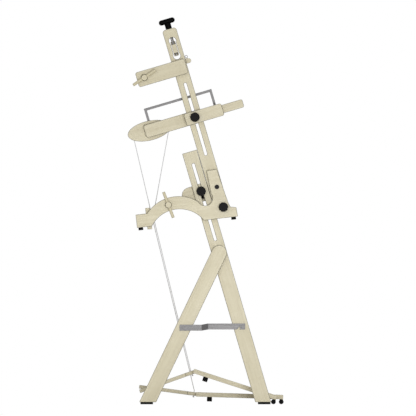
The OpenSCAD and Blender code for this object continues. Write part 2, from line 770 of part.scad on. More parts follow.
// The points of a cord's route, in the floor frame, with its knots as balls at both ends
function lean_point(v, y, u) =
    [loom_x + v * cos(lean) - u * sin(lean), y, loom_z + v * sin(lean) + u * cos(lean)];
function base_point(x, y, z) =
    [base_x + x * cos(base_tilt) - z * sin(base_tilt), y, base_z + x * sin(base_tilt) + z * cos(base_tilt)];
function lever_point(x, y, z, angle) =
    [rod_x + x * cos(angle) - z * sin(angle), y, rod_z + x * sin(angle) + z * cos(angle)];
function rocker_point(x, y, z) = lean_point(
    rocker_v + rocker_shift + x * cos(rocker_tilt) + z * sin(rocker_tilt), y,
    shed_u - x * sin(rocker_tilt) + z * cos(rocker_tilt));

// A cord leaves its rocker hole, passes down through its eye, and goes through its lever's hole
function cord_route(arm, eye_y, side, angle) = [
    rocker_point(arm, -cord_y, 0),
    rocker_point(arm, -cord_y, 2 - oval_edge(arm)),
    rocker_point(arm, -cord_y, -2 - oval_edge(arm)),
    base_point(eye_x, eye_y - 1, eye_z + 4),
    base_point(eye_x, eye_y, eye_z),
    base_point(eye_x + 0.8, eye_y + 0.5 * side, eye_z - 4),
    lever_point(cord_hole_x, side * treadle_y, 12, angle),
    lever_point(cord_hole_x, side * treadle_y, 7, angle),
    lever_point(cord_hole_x, side * treadle_y, -9.8, angle)
];

// An eight-sided tube through a list of points
function cord_ring(points, i) =
    let (
        last = len(points) - 1,
        ahead = points[min(i + 1, last)] - points[i],
        behind = points[i] - points[max(i - 1, 0)],
        along = (i == 0 ? ahead / norm(ahead) : behind / norm(behind))
            + (i == last ? behind / norm(behind) : ahead / norm(ahead)),
        dir = along / norm(along),
        side = cross(dir, [1, 0, 0]),
        out = side / norm(side),
        up = cross(dir, out)
    )
    [for (k = [0 : 7]) points[i] + cord_d / 2 * (cos(k * 45) * out + sin(k * 45) * up)];

module cord(points) {
    tube_mesh([for (i = [0 : len(points) - 1]) cord_ring(points, i)], 8);
    for (end = [points[0], points[len(points) - 1]]) translate(end) sphere(d = 7, $fn = 24);
}

module treadle_cords() color(cord_grey) {
    cord(cord_route(cord_holes[0], far_eye_y, 1, -lever_down));
    cord(cord_route(cord_holes[1], near_eye_y, -1, lever_up));
}

left_post();
right_post();
post_stretcher();
post_pads();
stand_bolts();
left_leg();
right_leg();
leg_stretcher();
leg_pads();
leg_screws();
treadle_rod();
braces();
left_treadle_lever();
right_treadle_lever();
left_pedal();
right_pedal();
left_pedal_bumper();
right_pedal_bumper();
left_roller();
right_roller();
left_upright();
right_upright();
left_base();
right_base();
rear_stretcher();
bottom_bar();
left_mount_bracket();
right_mount_bracket();
base_bumpers();
loom_fasteners();
coil_bar();
warp_coil();
left_beam_arm();
right_beam_arm();
left_tension_knob();
right_tension_knob();
top_beam();
left_shed_knob();
right_shed_knob();
left_mount_knob();
right_mount_knob();
left_base_knob();
right_base_knob();
warp_beam();
warp_ratchet();
warp_pawl();
cloth_beam();
cloth_ratchet();
cloth_pawl();
left_shed_arm();
right_shed_arm();
rocker_arm();
carriage_fasteners();
rocker();
rocker_crank();
link();
shed_shaft();
shed_bar();
shed_lever();
treadle_cords();
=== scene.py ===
"""The looks of the tapestry loom: pale oiled wood, brushed steel, black knobs and twisted cords."""

import json
import math

import bmesh
import bpy
from mathutils import Matrix, Vector


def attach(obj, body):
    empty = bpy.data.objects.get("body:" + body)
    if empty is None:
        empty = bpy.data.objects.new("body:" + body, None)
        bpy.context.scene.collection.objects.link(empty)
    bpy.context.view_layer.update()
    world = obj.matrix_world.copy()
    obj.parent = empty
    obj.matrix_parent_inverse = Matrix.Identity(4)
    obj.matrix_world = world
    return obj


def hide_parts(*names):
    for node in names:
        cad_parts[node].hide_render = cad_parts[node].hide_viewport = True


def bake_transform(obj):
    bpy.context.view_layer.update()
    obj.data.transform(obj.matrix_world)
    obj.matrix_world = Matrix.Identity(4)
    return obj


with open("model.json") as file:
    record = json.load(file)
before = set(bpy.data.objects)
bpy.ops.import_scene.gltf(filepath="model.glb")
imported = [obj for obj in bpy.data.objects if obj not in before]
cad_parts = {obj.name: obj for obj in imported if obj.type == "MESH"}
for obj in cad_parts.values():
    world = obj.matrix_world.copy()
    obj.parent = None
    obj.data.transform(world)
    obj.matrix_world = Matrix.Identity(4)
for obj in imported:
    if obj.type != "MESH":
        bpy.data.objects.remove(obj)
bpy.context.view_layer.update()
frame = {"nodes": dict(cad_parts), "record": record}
bpy.context.scene.view_settings.view_transform = "Standard"

MM = 0.001

# The camera's place and the width of its view, and half the floor's width, in metres
CAMERA_PLACE = (0.0085, -3.5, 0.656)
CAMERA_WIDTH = 1.3903
FLOOR_HALF = 30
WORLD_LIGHT = 0.53

# Angles of the loom's main pieces, in degrees
LEAN = 16.4
BASE_TILT = 6.5
LEG_SPREAD = 25.6
LEVER_UP = 19.7
LEVER_DOWN = -7.5
PEDAL_UP_SLOPE = 17.965
PEDAL_DOWN_SLOPE = 1.822

# The uprights' mid-line passes through this point, at the base knob's height
LOOM_FOOT = Vector((0.05386, 0.0, 0.6572))
BASE_FOOT = Vector((0.06, 0.0, 0.659007))

# Places that the knobs share with the CAD: each knob's place across and along the upright, in
# millimetres, and the radius of its stud, in metres
SHED_HEIGHT = 315
KNOBS = {
    "shed": ((0, SHED_HEIGHT), 0.004),
    "mount": ((-50, 71.7), 0.003),
    "base": ((6.4, 0), 0.004),
}
TENSION_ROD_Y = 282.5
TENSION_ROD_RADIUS = 0.00475

# The coil's turns, its length, the radius of its line and of its wire, and its axis across and up
# the leaning uprights, in millimetres, and the steps in a turn and sides of the wire of its mesh
COIL_TURNS = 80
COIL_WIDTH = 508.0
COIL_RADIUS = 4.2
COIL_WIRE = 0.8
COIL_ACROSS = 29.1
COIL_UP = 517.55
COIL_STEPS = 24
COIL_SIDES = 8

# The oval rocker's tilt in degrees, and its centre, half length and half height in millimetres
ROCKER_TILT = 3.1
ROCKER_V = -159.5
ROCKER_LONG = 73
ROCKER_SHORT = 33

# The cords' places in the CAD, in millimetres
CORD_Y = 246.5
BACK_ARM = -56
FRONT_ARM = 61
BACK_EYE_Y = -135
FRONT_EYE_Y = -170
EYE_X = -238.6
EYE_Z = -7.0
EYE_SLACK = 2.1
ROD_X = -188.7
ROD_Z = 54.5
CORD_HOLE = 151.0
HOLE_TOP = 7
KNOT_DROP = -9.8
TREADLE_Y = 62.0

# Shares of a cord's stretch from its eye to its lever: where its leg length starts, where its foot length
# starts, and a point near the lever. The last is a share of the stretch from the rocker to the eye, at a
# point near the eye.
LEG_SHARE = 0.25
LEVER_SHARE = 0.65
LEVER_ONLY_SHARE = 0.985
EYE_ONLY_SHARE = 0.99

# The cord itself: its radius, the length in which its strands turn once, and the gap between the
# rings of its mesh, in metres. The lobes of its outline are a share of its radius deep, to each side.
CORD_RADIUS = 0.0014
CORD_LAY = 0.011
CORD_RING_GAP = 0.0011
CORD_STRANDS = 3
LOBE_DEPTH = 0.14
CORD_SIDES = 12

# The knots: the size of a trefoil's unit and the radius of its cord, in metres
KNOT_UNIT = 0.00072
KNOT_CORD_RADIUS = 0.0011
KNOT_STEPS = 48
KNOT_SIDES = 10


def turn_y(degrees):
    """A turn about Y that raises +X."""
    return Matrix.Rotation(math.radians(-degrees), 4, "Y")


def lean_point(v, y, u):
    """A point given across, sideways and along the leaning uprights, in millimetres."""
    return LOOM_FOOT + turn_y(LEAN) @ Vector((v, y, u)) * MM


def base_point(x, y, z):
    """A point in the frame of the base boards, in millimetres."""
    return BASE_FOOT + turn_y(BASE_TILT) @ Vector((x, y, z)) * MM


# Camera, light and floor


def make_camera():
    """The drawing shows the loom square from its left side, with no perspective."""
    data = bpy.data.cameras.new("side_view")
    data.type = "ORTHO"
    data.ortho_scale = CAMERA_WIDTH
    camera = bpy.data.objects.new("side_view", data)
    camera.location = CAMERA_PLACE
    camera.rotation_euler = (math.radians(90), 0, 0)
    bpy.context.collection.objects.link(camera)
    bpy.context.scene.camera = camera


def make_light(name, place, aim, size, power, spread=180):
    """A round lamp that faces aim. spread is the width of its beam, in degrees."""
    data = bpy.data.lights.new(name, "AREA")
    data.shape = "DISK"
    data.size = size
    data.energy = power
    data.spread = math.radians(spread)
    lamp = bpy.data.objects.new(name, data)
    lamp.location = place
    lamp.rotation_euler = (Vector(aim) - Vector(place)).to_track_quat("-Z", "Y").to_euler()
    bpy.context.collection.objects.link(lamp)


def white_to_camera(nodes, links, shader, out_socket):
    """Shows white to the rays of the camera, of a gloss and of glass, and the shader to all others."""
    path = nodes.new("ShaderNodeLightPath")
    direct = nodes.new("ShaderNodeMath")
    direct.operation = "MAXIMUM"
    links.new(path.outputs["Is Camera Ray"], direct.inputs[0])
    links.new(path.outputs["Is Glossy Ray"], direct.inputs[1])
    seen = nodes.new("ShaderNodeMath")
    seen.operation = "MAXIMUM"
    links.new(direct.outputs[0], seen.inputs[0])
    links.new(path.outputs["Is Transmission Ray"], seen.inputs[1])
    white = nodes.new("ShaderNodeBackground")
    white.inputs["Color"].default_value = (1, 1, 1, 1)
    mix = nodes.new("ShaderNodeMixShader")
    links.new(seen.outputs[0], mix.inputs["Fac"])
    links.new(shader, mix.inputs[1])
    links.new(white.outputs[0], mix.inputs[2])
    links.new(mix.outputs[0], out_socket)


def make_world():
    """An even white light from all around."""
    world = bpy.data.worlds.new("studio")
    bpy.context.scene.world = world
    world.use_nodes = True
    nodes, links = world.node_tree.nodes, world.node_tree.links
    light = nodes["Background"]
    light.inputs["Color"].default_value = (1, 1, 1, 1)
    light.inputs["Strength"].default_value = WORLD_LIGHT
    white_to_camera(nodes, links, light.outputs[0], nodes["World Output"].inputs["Surface"])


def make_floor():
    """A wide sheet of matt white paper at the height of the ground."""
    bm = bmesh.new()
    bmesh.ops.create_grid(bm, x_segments=1, y_segments=1, size=FLOOR_HALF)
    mesh = bpy.data.meshes.new("floor")
    bm.to_mesh(mesh)
    bm.free()
    floor = bpy.data.objects.new("floor", mesh)
    bpy.context.collection.objects.link(floor)
    material = bpy.data.materials.new("floor_paper")
    material.use_nodes = True
    shader = material.node_tree.nodes["Principled BSDF"]
    shader.inputs["Base Color"].default_value = (0.9, 0.9, 0.89, 1)
    shader.inputs["Roughness"].default_value = 0.9
    shader.inputs["Specular IOR Level"].default_value = 0
    mesh.materials.append(material)


# Pattern groups, built once and placed in each material with its own values


def new_group(name, inputs, outputs):
    """A shader node group with named sockets, its input node and its output node."""
    group = bpy.data.node_groups.new(name, "ShaderNodeTree")
    for way, sockets in (("INPUT", inputs), ("OUTPUT", outputs)):
        for label, kind in sockets:
            group.interface.new_socket(label, in_out=way, socket_type=kind)
    return group, group.nodes.new("NodeGroupInput"), group.nodes.new("NodeGroupOutput")


def noise(nodes, links, vector, scale, detail, roughness):
    node = nodes.new("ShaderNodeTexNoise")
    node.inputs["Scale"].default_value = scale
    node.inputs["Detail"].default_value = detail
    node.inputs["Roughness"].default_value = roughness
    links.new(vector, node.inputs["Vector"])
    return node.outputs["Fac"]


def ramp(nodes, links, value, low, high, out_low=0.0, out_high=1.0):
    node = nodes.new("ShaderNodeMapRange")
    node.inputs["From Min"].default_value = low
    node.inputs["From Max"].default_value = high
    node.inputs["To Min"].default_value = out_low
    node.inputs["To Max"].default_value = out_high
    links.new(value, node.inputs["Value"])
    return node.outputs[0]


def mapping(nodes, links, vector, turn=(0, 0, 0), scale=(1, 1, 1), shift=(0, 0, 0)):
    node = nodes.new("ShaderNodeMapping")
    node.inputs["Rotation"].default_value = [math.radians(a) for a in turn]
    node.inputs["Scale"].default_value = scale
    node.inputs["Location"].default_value = shift
    links.new(vector, node.inputs["Vector"])
    return node.outputs[0]


def mix_colour(nodes, links, factor, first, second):
    node = nodes.new("ShaderNodeMix")
    node.data_type = "RGBA"
    links.new(factor, node.inputs[0])
    # The colour sockets come after those for numbers and vectors
    for socket, colour in ((node.inputs[6], first), (node.inputs[7], second)):
        if isinstance(colour, bpy.types.NodeSocket):
            links.new(colour, socket)
        else:
            socket.default_value = colour
    return node.outputs[2]


def make_wood_group():
    """Pale maple whose grain runs along the vector's own X."""
    group, start, end = new_group(
        "maple_grain",
        [
            ("Vector", "NodeSocketVector"),
            ("Pale", "NodeSocketColor"),
            ("Warm", "NodeSocketColor"),
        ],
        [("Colour", "NodeSocketColor"), ("Roughness", "NodeSocketFloat"), ("Height", "NodeSocketFloat")],
    )
    nodes, links = group.nodes, group.links
    vector = start.outputs["Vector"]
    bands = noise(nodes, links, mapping(nodes, links, vector, scale=(1.6, 26, 26)), 1.5, 5, 0.55)
    figure = noise(nodes, links, mapping(nodes, links, vector, scale=(14, 5, 5)), 2.2, 3, 0.6)
    fibres = noise(nodes, links, mapping(nodes, links, vector, scale=(9, 520, 520)), 1.0, 3, 0.65)
    flecks = noise(nodes, links, mapping(nodes, links, vector, scale=(60, 900, 900)), 1.0, 1, 0.5)
    band_mask = ramp(nodes, links, bands, 0.38, 0.66, 0.0, 0.5)
    base = mix_colour(nodes, links, band_mask, start.outputs["Pale"], start.outputs["Warm"])
    fibre_mask = ramp(nodes, links, fibres, 0.42, 0.72, 0.0, 0.34)
    fibred = mix_colour(nodes, links, fibre_mask, base, start.outputs["Warm"])
    fleck_mask = ramp(nodes, links, flecks, 0.66, 0.78, 0.0, 0.42)
    flecked = mix_colour(nodes, links, fleck_mask, fibred, (0.30, 0.21, 0.12, 1))
    figure_mask = ramp(nodes, links, figure, 0.45, 0.7, 0.0, 0.16)
    glossed = mix_colour(nodes, links, figure_mask, flecked, (0.66, 0.61, 0.47, 1))
    links.new(glossed, end.inputs["Colour"])
    links.new(ramp(nodes, links, fibres, 0.3, 0.7, 0.36, 0.52), end.inputs["Roughness"])
    links.new(ramp(nodes, links, fibres, 0.2, 0.8), end.inputs["Height"])
    return group


def make_wear_group():
    """Small scuffs and dust: a mask for a soft change of colour and roughness."""
    group, start, end = new_group(
        "handling_marks",
        [("Vector", "NodeSocketVector"), ("Scale", "NodeSocketFloat")],
        [("Mask", "NodeSocketFloat")],
    )
    nodes, links = group.nodes, group.links
    scaled = nodes.new("ShaderNodeVectorMath")
    scaled.operation = "SCALE"
    links.new(start.outputs["Vector"], scaled.inputs[0])
    links.new(start.outputs["Scale"], scaled.inputs["Scale"])
    clouds = noise(nodes, links, scaled.outputs[0], 5, 4, 0.6)
    fine = noise(nodes, links, scaled.outputs[0], 45, 3, 0.6)
    both = nodes.new("ShaderNodeMath")
    both.operation = "MULTIPLY"
    links.new(ramp(nodes, links, clouds, 0.45, 0.7), both.inputs[0])
    links.new(ramp(nodes, links, fine, 0.4, 0.7), both.inputs[1])
    links.new(both.outputs[0], end.inputs["Mask"])
    return group


def make_brush_group():
    """Fine lines along the vector's own X, as a brushed or drawn metal has."""
    group, start, end = new_group(
        "drawn_lines",
        [("Vector", "NodeSocketVector")],
        [("Lines", "NodeSocketFloat")],
    )
    nodes, links = group.nodes, group.links
    stretched = mapping(nodes, links, start.outputs["Vector"], scale=(8, 900, 900))
    lines = noise(nodes, links, stretched, 1, 3, 0.6)
    links.new(lines, end.inputs["Lines"])
    return group


WOOD_GROUP = make_wood_group()
WEAR_GROUP = make_wear_group()
BRUSH_GROUP = make_brush_group()


def new_material(name):
    material = bpy.data.materials.new(name)
    material.use_nodes = True
    nodes, links = material.node_tree.nodes, material.node_tree.links
    place = nodes.new("ShaderNodeTexCoord").outputs["Object"]
    return material, nodes, links, nodes["Principled BSDF"], place


def place_group(nodes, links, group, vector):
    node = nodes.new("ShaderNodeGroup")
    node.node_tree = group
    links.new(vector, node.inputs["Vector"])
    return node


def bump(nodes, links, shader, height, strength, distance):
    node = nodes.new("ShaderNodeBump")
    node.inputs["Strength"].default_value = strength
    node.inputs["Distance"].default_value = distance
    links.new(height, node.inputs["Height"])
    links.new(node.outputs["Normal"], shader.inputs["Normal"])


def wood_finish(name, grain, shift, pale, warm):
    """Oiled maple. grain turns the pattern so that it runs along the board."""
    material, nodes, links, shader, place = new_material(name)
    along = mapping(nodes, links, place, turn=grain, shift=shift)
    pattern = place_group(nodes, links, WOOD_GROUP, along)
    pattern.inputs["Pale"].default_value = pale
    pattern.inputs["Warm"].default_value = warm
    marks = place_group(nodes, links, WEAR_GROUP, place)
    marks.inputs["Scale"].default_value = 2.0
    worn = mix_colour(
        nodes, links, ramp(nodes, links, marks.outputs["Mask"], 0, 1, 0, 0.22),
        pattern.outputs["Colour"], (0.40, 0.345, 0.24, 1))
    links.new(worn, shader.inputs["Base Color"])
    links.new(pattern.outputs["Roughness"], shader.inputs["Roughness"])
    shader.inputs["Coat Weight"].default_value = 0.12
    shader.inputs["Coat Roughness"].default_value = 0.35
    bump(nodes, links, shader, pattern.outputs["Height"], 0.18, 0.0004)
    return material


def steel(name, lines=(0, 0, 0), colour=(0.148, 0.145, 0.147, 1), rough=(0.4, 0.56)):
    """Brushed zinc-plated steel, whose lines run along X once it is turned by lines."""
    material, nodes, links, shader, place = new_material(name)
    brush = place_group(nodes, links, BRUSH_GROUP, mapping(nodes, links, place, turn=lines))
    marks = place_group(nodes, links, WEAR_GROUP, place)
    marks.inputs["Scale"].default_value = 3.0
    dulled = mix_colour(
        nodes, links, ramp(nodes, links, marks.outputs["Mask"], 0, 1, 0, 0.5),
        colour, (0.16, 0.157, 0.155, 1))
    links.new(dulled, shader.inputs["Base Color"])
    shader.inputs["Metallic"].default_value = 0.6
    links.new(ramp(nodes, links, brush.outputs["Lines"], 0.35, 0.65, *rough), shader.inputs["Roughness"])
    bump(nodes, links, shader, brush.outputs["Lines"], 0.1, 0.0002)
    return material


# The length of one band of the wave texture at a scale of 1, and the pitches of the threads, in metres
WAVE_BAND = 0.314159
ROD_PITCH = 0.0016
STUD_PITCH = 0.0012


def threaded_steel(name, turn, pitch):
    """A steel rod whose thread shows as ridges across the vector's own X, with a painted highlight on the
    crests and painted shade in the roots.
    """
    material, nodes, links, shader, place = new_material(name)
    along = mapping(nodes, links, place, turn=turn)
    wave = nodes.new("ShaderNodeTexWave")
    wave.wave_type = "BANDS"
    wave.bands_direction = "X"
    wave.inputs["Scale"].default_value = WAVE_BAND / pitch
    wave.inputs["Distortion"].default_value = 0
    wave.inputs["Detail"].default_value = 0
    links.new(along, wave.inputs["Vector"])
    # Painted light: the base colour runs dark in the thread's roots and light on its crests, in step with
    # the bump
    painted_thread_light = mix_colour(nodes, links, wave.outputs["Fac"], (0.20, 0.20, 0.20, 1), (0.55, 0.54, 0.54, 1))
    links.new(painted_thread_light, shader.inputs["Base Color"])
    shader.inputs["Metallic"].default_value = 0.85
    shader.inputs["Roughness"].default_value = 0.36
    bump(nodes, links, shader, wave.outputs["Fac"], 0.7, 0.0006)
    return material


def moulded(name, colour, rough, grain_scale, grain_depth, specular=0.07):
    """Black plastic, rubber or paint with a fine grain and a few dusty marks."""
    material, nodes, links, shader, place = new_material(name)
    grain = noise(nodes, links, place, grain_scale, 2, 0.5)
    marks = place_group(nodes, links, WEAR_GROUP, place)
    marks.inputs["Scale"].default_value = 4.0
    dusty = mix_colour(
        nodes, links, ramp(nodes, links, marks.outputs["Mask"], 0, 1, 0, 0.35),
        colour, (0.02, 0.02, 0.0195, 1))
    links.new(dusty, shader.inputs["Base Color"])
    links.new(ramp(nodes, links, grain, 0.3, 0.7, rough - 0.06, rough + 0.08), shader.inputs["Roughness"])
    shader.inputs["Specular IOR Level"].default_value = specular
    bump(nodes, links, shader, grain, 0.25, grain_depth)
    return material


def cord_fibre(name):
    """Pale grey twisted polyester, with fine filaments along each strand."""
    material, nodes, links, shader, place = new_material(name)
    filaments = noise(nodes, links, place, 1400, 2, 0.6)
    tint = noise(nodes, links, place, 60, 2, 0.5)
    soft = mix_colour(
        nodes, links, ramp(nodes, links, filaments, 0.3, 0.7), (0.5, 0.5, 0.515, 1), (0.7, 0.7, 0.72, 1))
    aged = mix_colour(nodes, links, ramp(nodes, links, tint, 0.4, 0.7, 0, 0.3), soft, (0.55, 0.545, 0.53, 1))
    links.new(aged, shader.inputs["Base Color"])
    shader.inputs["Roughness"].default_value = 0.75
    shader.inputs["Sheen Weight"].default_value = 0.3
    bump(nodes, links, shader, filaments, 0.4, 0.0002)
    return material


# Materials: wood has one for each direction that the grain runs in, each with a darker copy for its eased
# edges, which is painted edge shade and outline

PAINTED_EDGE_SHADE = {}
PALE_WOOD = (0.568, 0.518, 0.358)
WARM_WOOD = (0.445, 0.392, 0.252)

# The brightness of the painted edge shade's two colours, as shares of the board's own
EDGE_PALE = 0.30
EDGE_WARM = 0.29


def opaque(colour, share=1):
    """The colour with a full fourth value, at a share of its brightness."""
    return (*[share * value for value in colour], 1)


def wood(name, grain, shift=(0, 0, 0), pale=PALE_WOOD):
    material = wood_finish(name, grain, shift, opaque(pale), opaque(WARM_WOOD))
    # Painted shade: the eased edges get this copy at about a third of the brightness, a dark outline along
    # every edge
    PAINTED_EDGE_SHADE[name] = wood_finish(
        name + "_edge", grain, shift, opaque(pale, EDGE_PALE), opaque(WARM_WOOD, EDGE_WARM))
    return material


UPRIGHT_GRAIN = (0, 90 + LEAN, 0)
LEG_GRAIN = (0, 90 - LEG_SPREAD, 0)
ARM_GRAIN = (0, LEAN, 0)
BASE_GRAIN = (0, BASE_TILT, 0)
BAR_GRAIN = (0, 0, -90)

WOOD_UPRIGHT = wood("wood_upright", UPRIGHT_GRAIN)
WOOD_LEG = wood("wood_leg", LEG_GRAIN, shift=(0.31, 0.2, 0.1))
WOOD_ARM = wood("wood_arm", ARM_GRAIN, shift=(0.7, 0.1, 0.3))
WOOD_BASE = wood("wood_base", BASE_GRAIN, shift=(0.2, 0.6, 0.5))
WOOD_BAR = wood("wood_bar", BAR_GRAIN, shift=(0.4, 0.3, 0.9))
WOOD_LEFT_LEVER = wood("wood_left_lever", (0, LEVER_UP, 0), shift=(0.9, 0, 0))
WOOD_RIGHT_LEVER = wood("wood_right_lever", (0, LEVER_DOWN, 0), shift=(0.5, 0, 0))
WOOD_LEFT_PEDAL = wood("wood_left_pedal", (0, -PEDAL_UP_SLOPE, 0), shift=(0.1, 0, 0))
WOOD_RIGHT_PEDAL = wood("wood_right_pedal", (0, -PEDAL_DOWN_SLOPE, 0), shift=(0.6, 0, 0))
WOOD_TURNED = wood("wood_turned", BAR_GRAIN, shift=(0.1, 0.8, 0.2), pale=(0.555, 0.50, 0.335))
STEEL_ACROSS = steel("steel_across", (0, 0, -90))
STEEL_LEVEL = steel("steel_level")
STEEL_ARM = steel("steel_arm", ARM_GRAIN)
STEEL_DARK = steel("steel_dark", colour=(0.14, 0.14, 0.15, 1), rough=(0.38, 0.55))
STEEL_THREAD = threaded_steel("steel_thread", UPRIGHT_GRAIN, ROD_PITCH)
STEEL_STUD = threaded_steel("steel_stud", BAR_GRAIN, STUD_PITCH)
BLACK_PLASTIC = moulded("black_plastic", (0.0045, 0.004, 0.004, 1), 0.46, 900, 0.0002)
BLACK_RUBBER = moulded("black_rubber", (0.006, 0.006, 0.0065, 1), 0.72, 420, 0.0004)
BLACK_PAINT = moulded("black_paint", (0.0012, 0.0012, 0.0013, 1), 0.38, 900, 0.00006, 0.03)
BLACK_STEEL = moulded("black_oxide_steel", (0.01, 0.01, 0.011, 1), 0.36, 1400, 0.0001)
CORD = cord_fibre("cord_fibre")


# Finished copies of the CAD pieces, with eased edges

# The angles, in degrees, over which an edge is eased and under which it is dropped as flat, and the
# distance, in metres, under which two corners are one
SHARP_EDGE = 30
FLAT_EDGE = 0.3
SAME_PLACE = 2e-6


def carrier(node):
    """The body that a CAD node rides on."""
    for name, nodes in frame["record"]["behaviour"]["bodies"].items():
        if node in nodes:
            return name
    raise ValueError(node)


def show_mesh(name, bm, materials, sharp=40):
    """A new object from bm, shaded smooth except at edges that turn by more than sharp, in degrees."""
    mesh = bpy.data.meshes.new(name)
    bm.to_mesh(mesh)
    bm.free()
    for label in ("custom_normal", "sharp_face", "sharp_edge"):
        if label in mesh.attributes:
            mesh.attributes.remove(mesh.attributes[label])
    for material in materials:
        mesh.materials.append(material)
    mesh.shade_smooth()
    mesh.set_sharp_from_angle(angle=math.radians(sharp))
    piece = bpy.data.objects.new(name, mesh)
    bpy.context.collection.objects.link(piece)
    return piece


def eased(node, materials, width, pick=None):
    """A copy of a CAD node with its sharp edges eased by width.

    Wood gets a darker copy of its finish along the eased edges: painted edge shade that draws a dark
    outline.
    pick gives the number of the material for a face.
    """
    bm = bmesh.new()
    bm.from_mesh(frame["nodes"][node].data)
    bmesh.ops.remove_doubles(bm, verts=bm.verts, dist=SAME_PLACE)
    bmesh.ops.dissolve_limit(
        bm, angle_limit=math.radians(FLAT_EDGE), use_dissolve_boundaries=False,
        verts=bm.verts, edges=bm.edges)
    bm.normal_update()
    edges = [
        edge for edge in bm.edges
        if len(edge.link_faces) == 2 and edge.calc_face_angle(0) > math.radians(SHARP_EDGE)
    ]
    for face in bm.faces:
        face.material_index = 0
    # Wood's darker copy for the eased edges is painted edge shade
    edge_shade = PAINTED_EDGE_SHADE.get(materials[0].name)
    if edge_shade:
        materials = [materials[0], edge_shade]
    bmesh.ops.bevel(
        bm, geom=edges, offset=width, affect="EDGES", segments=2, profile=0.5,
        material=1 if edge_shade else -1, clamp_overlap=False)
    bmesh.ops.recalc_face_normals(bm, faces=bm.faces)
    if pick:
        for face in bm.faces:
            face.material_index = pick(face)
    piece = show_mesh(node + "_finished", bm, materials)
    weighted = piece.modifiers.new("flat_faces", "WEIGHTED_NORMAL")
    weighted.keep_sharp = True
    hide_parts(node)
    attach(piece, carrier(node))


for side in ("left", "right"):
    eased(side + "_post", [WOOD_UPRIGHT], 0.0015)
    eased(side + "_leg", [WOOD_LEG], 0.0015)
    eased(side + "_upright", [WOOD_UPRIGHT], 0.0014)
    eased(side + "_base", [WOOD_BASE], 0.0014)
    eased(side + "_mount_bracket", [WOOD_ARM], 0.0013)
    eased(side + "_beam_arm", [WOOD_ARM], 0.0014)
    eased(side + "_shed_arm", [WOOD_ARM], 0.0014)
    eased(side + "_pedal_bumper", [BLACK_RUBBER], 0.0015)
    eased(side + "_roller", [BLACK_RUBBER], 0.0010)
eased("rocker_arm", [WOOD_ARM], 0.0014)
eased("post_stretcher", [WOOD_BAR], 0.0012)
eased("leg_stretcher", [WOOD_BAR], 0.0012)
eased("rear_stretcher", [WOOD_BAR], 0.0008)
eased("bottom_bar", [WOOD_BAR], 0.0010)
eased("coil_bar", [WOOD_BAR], 0.0008)
eased("top_beam", [WOOD_BAR], 0.0010)
eased("shed_bar", [WOOD_BAR], 0.0008)
eased("left_treadle_lever", [WOOD_LEFT_LEVER], 0.0009)
eased("right_treadle_lever", [WOOD_RIGHT_LEVER], 0.0009)
eased("left_pedal", [WOOD_LEFT_PEDAL], 0.0006)
eased("right_pedal", [WOOD_RIGHT_PEDAL], 0.0006)
eased("rocker", [WOOD_ARM], 0.0014)
eased("shed_lever", [WOOD_ARM], 0.0014)
eased("post_pads", [BLACK_RUBBER], 0.0010)
eased("leg_pads", [BLACK_RUBBER], 0.0010)
eased("base_bumpers", [BLACK_RUBBER], 0.0012)
eased("warp_beam", [WOOD_TURNED], 0.0008)
eased("cloth_beam", [WOOD_TURNED], 0.0008)
eased("braces", [STEEL_LEVEL], 0.0003)
eased("link", [STEEL_ARM], 0.0003)
for node in ("warp_ratchet", "cloth_ratchet", "warp_pawl", "cloth_pawl"):
    eased(node, [STEEL_DARK], 0.0003)
for node in ("stand_bolts", "leg_screws", "carriage_fasteners", "treadle_rod", "shed_shaft", "rocker_crank"):
    eased(node, [STEEL_ACROSS], 0.0004)
eased("loom_fasteners", [BLACK_STEEL], 0.0004)


# What a face of a stud may lie outside the stud's radius, in metres
STUD_MARGIN = 0.0002


def knob_finish(axis_point, axis, stud_radius):
    """Steel on the stud and plastic on the knob, by the distance from the knob's own axis."""
    def pick(face):
        spread_out = 0.0
        for vert in face.verts:
            away = vert.co - axis_point
            spread_out = max(spread_out, (away - axis * away.dot(axis)).length)
        return 1 if spread_out < stud_radius + STUD_MARGIN else 0
    return pick


SIDEWAYS = Vector((0, 1, 0))
UP_THE_UPRIGHT = (lean_point(0, 0, 100) - lean_point(0, 0, 0)).normalized()
for side, sign in (("left", -1), ("right", 1)):
    for kind, ((across, up), stud_radius) in KNOBS.items():
        eased(
            f"{side}_{kind}_knob", [BLACK_PLASTIC, STEEL_STUD], 0.0010,
            pick=knob_finish(lean_point(across, 0, up), SIDEWAYS, stud_radius))
    rod = lean_point(0, sign * TENSION_ROD_Y, 0)
    eased(
        side + "_tension_knob", [BLACK_PAINT, STEEL_THREAD], 0.0012,
        pick=knob_finish(rod, UP_THE_UPRIGHT, TENSION_ROD_RADIUS))


def skin(name, rings, material, sharp=50, loop=False):
    """A skin over rings of as many points each. It has flat ends, or joins up as a loop."""
    bm = bmesh.new()
    verts = [[bm.verts.new(point) for point in ring] for ring in rings]
    following = verts[1:] + verts[:1] if loop else verts[1:]
    for ring, after in zip(verts, following):
        for k in range(len(ring)):
            n = (k + 1) % len(ring)
            bm.faces.new((ring[k], after[k], after[n], ring[n]))
    if not loop:
        bm.faces.new(verts[0])
        bm.faces.new(verts[-1][::-1])
    bmesh.ops.recalc_face_normals(bm, faces=bm.faces)
    return show_mesh(name, bm, [material], sharp)


# Warp spacing coil: one wire along the same line as the CAD's, with more sides and steps


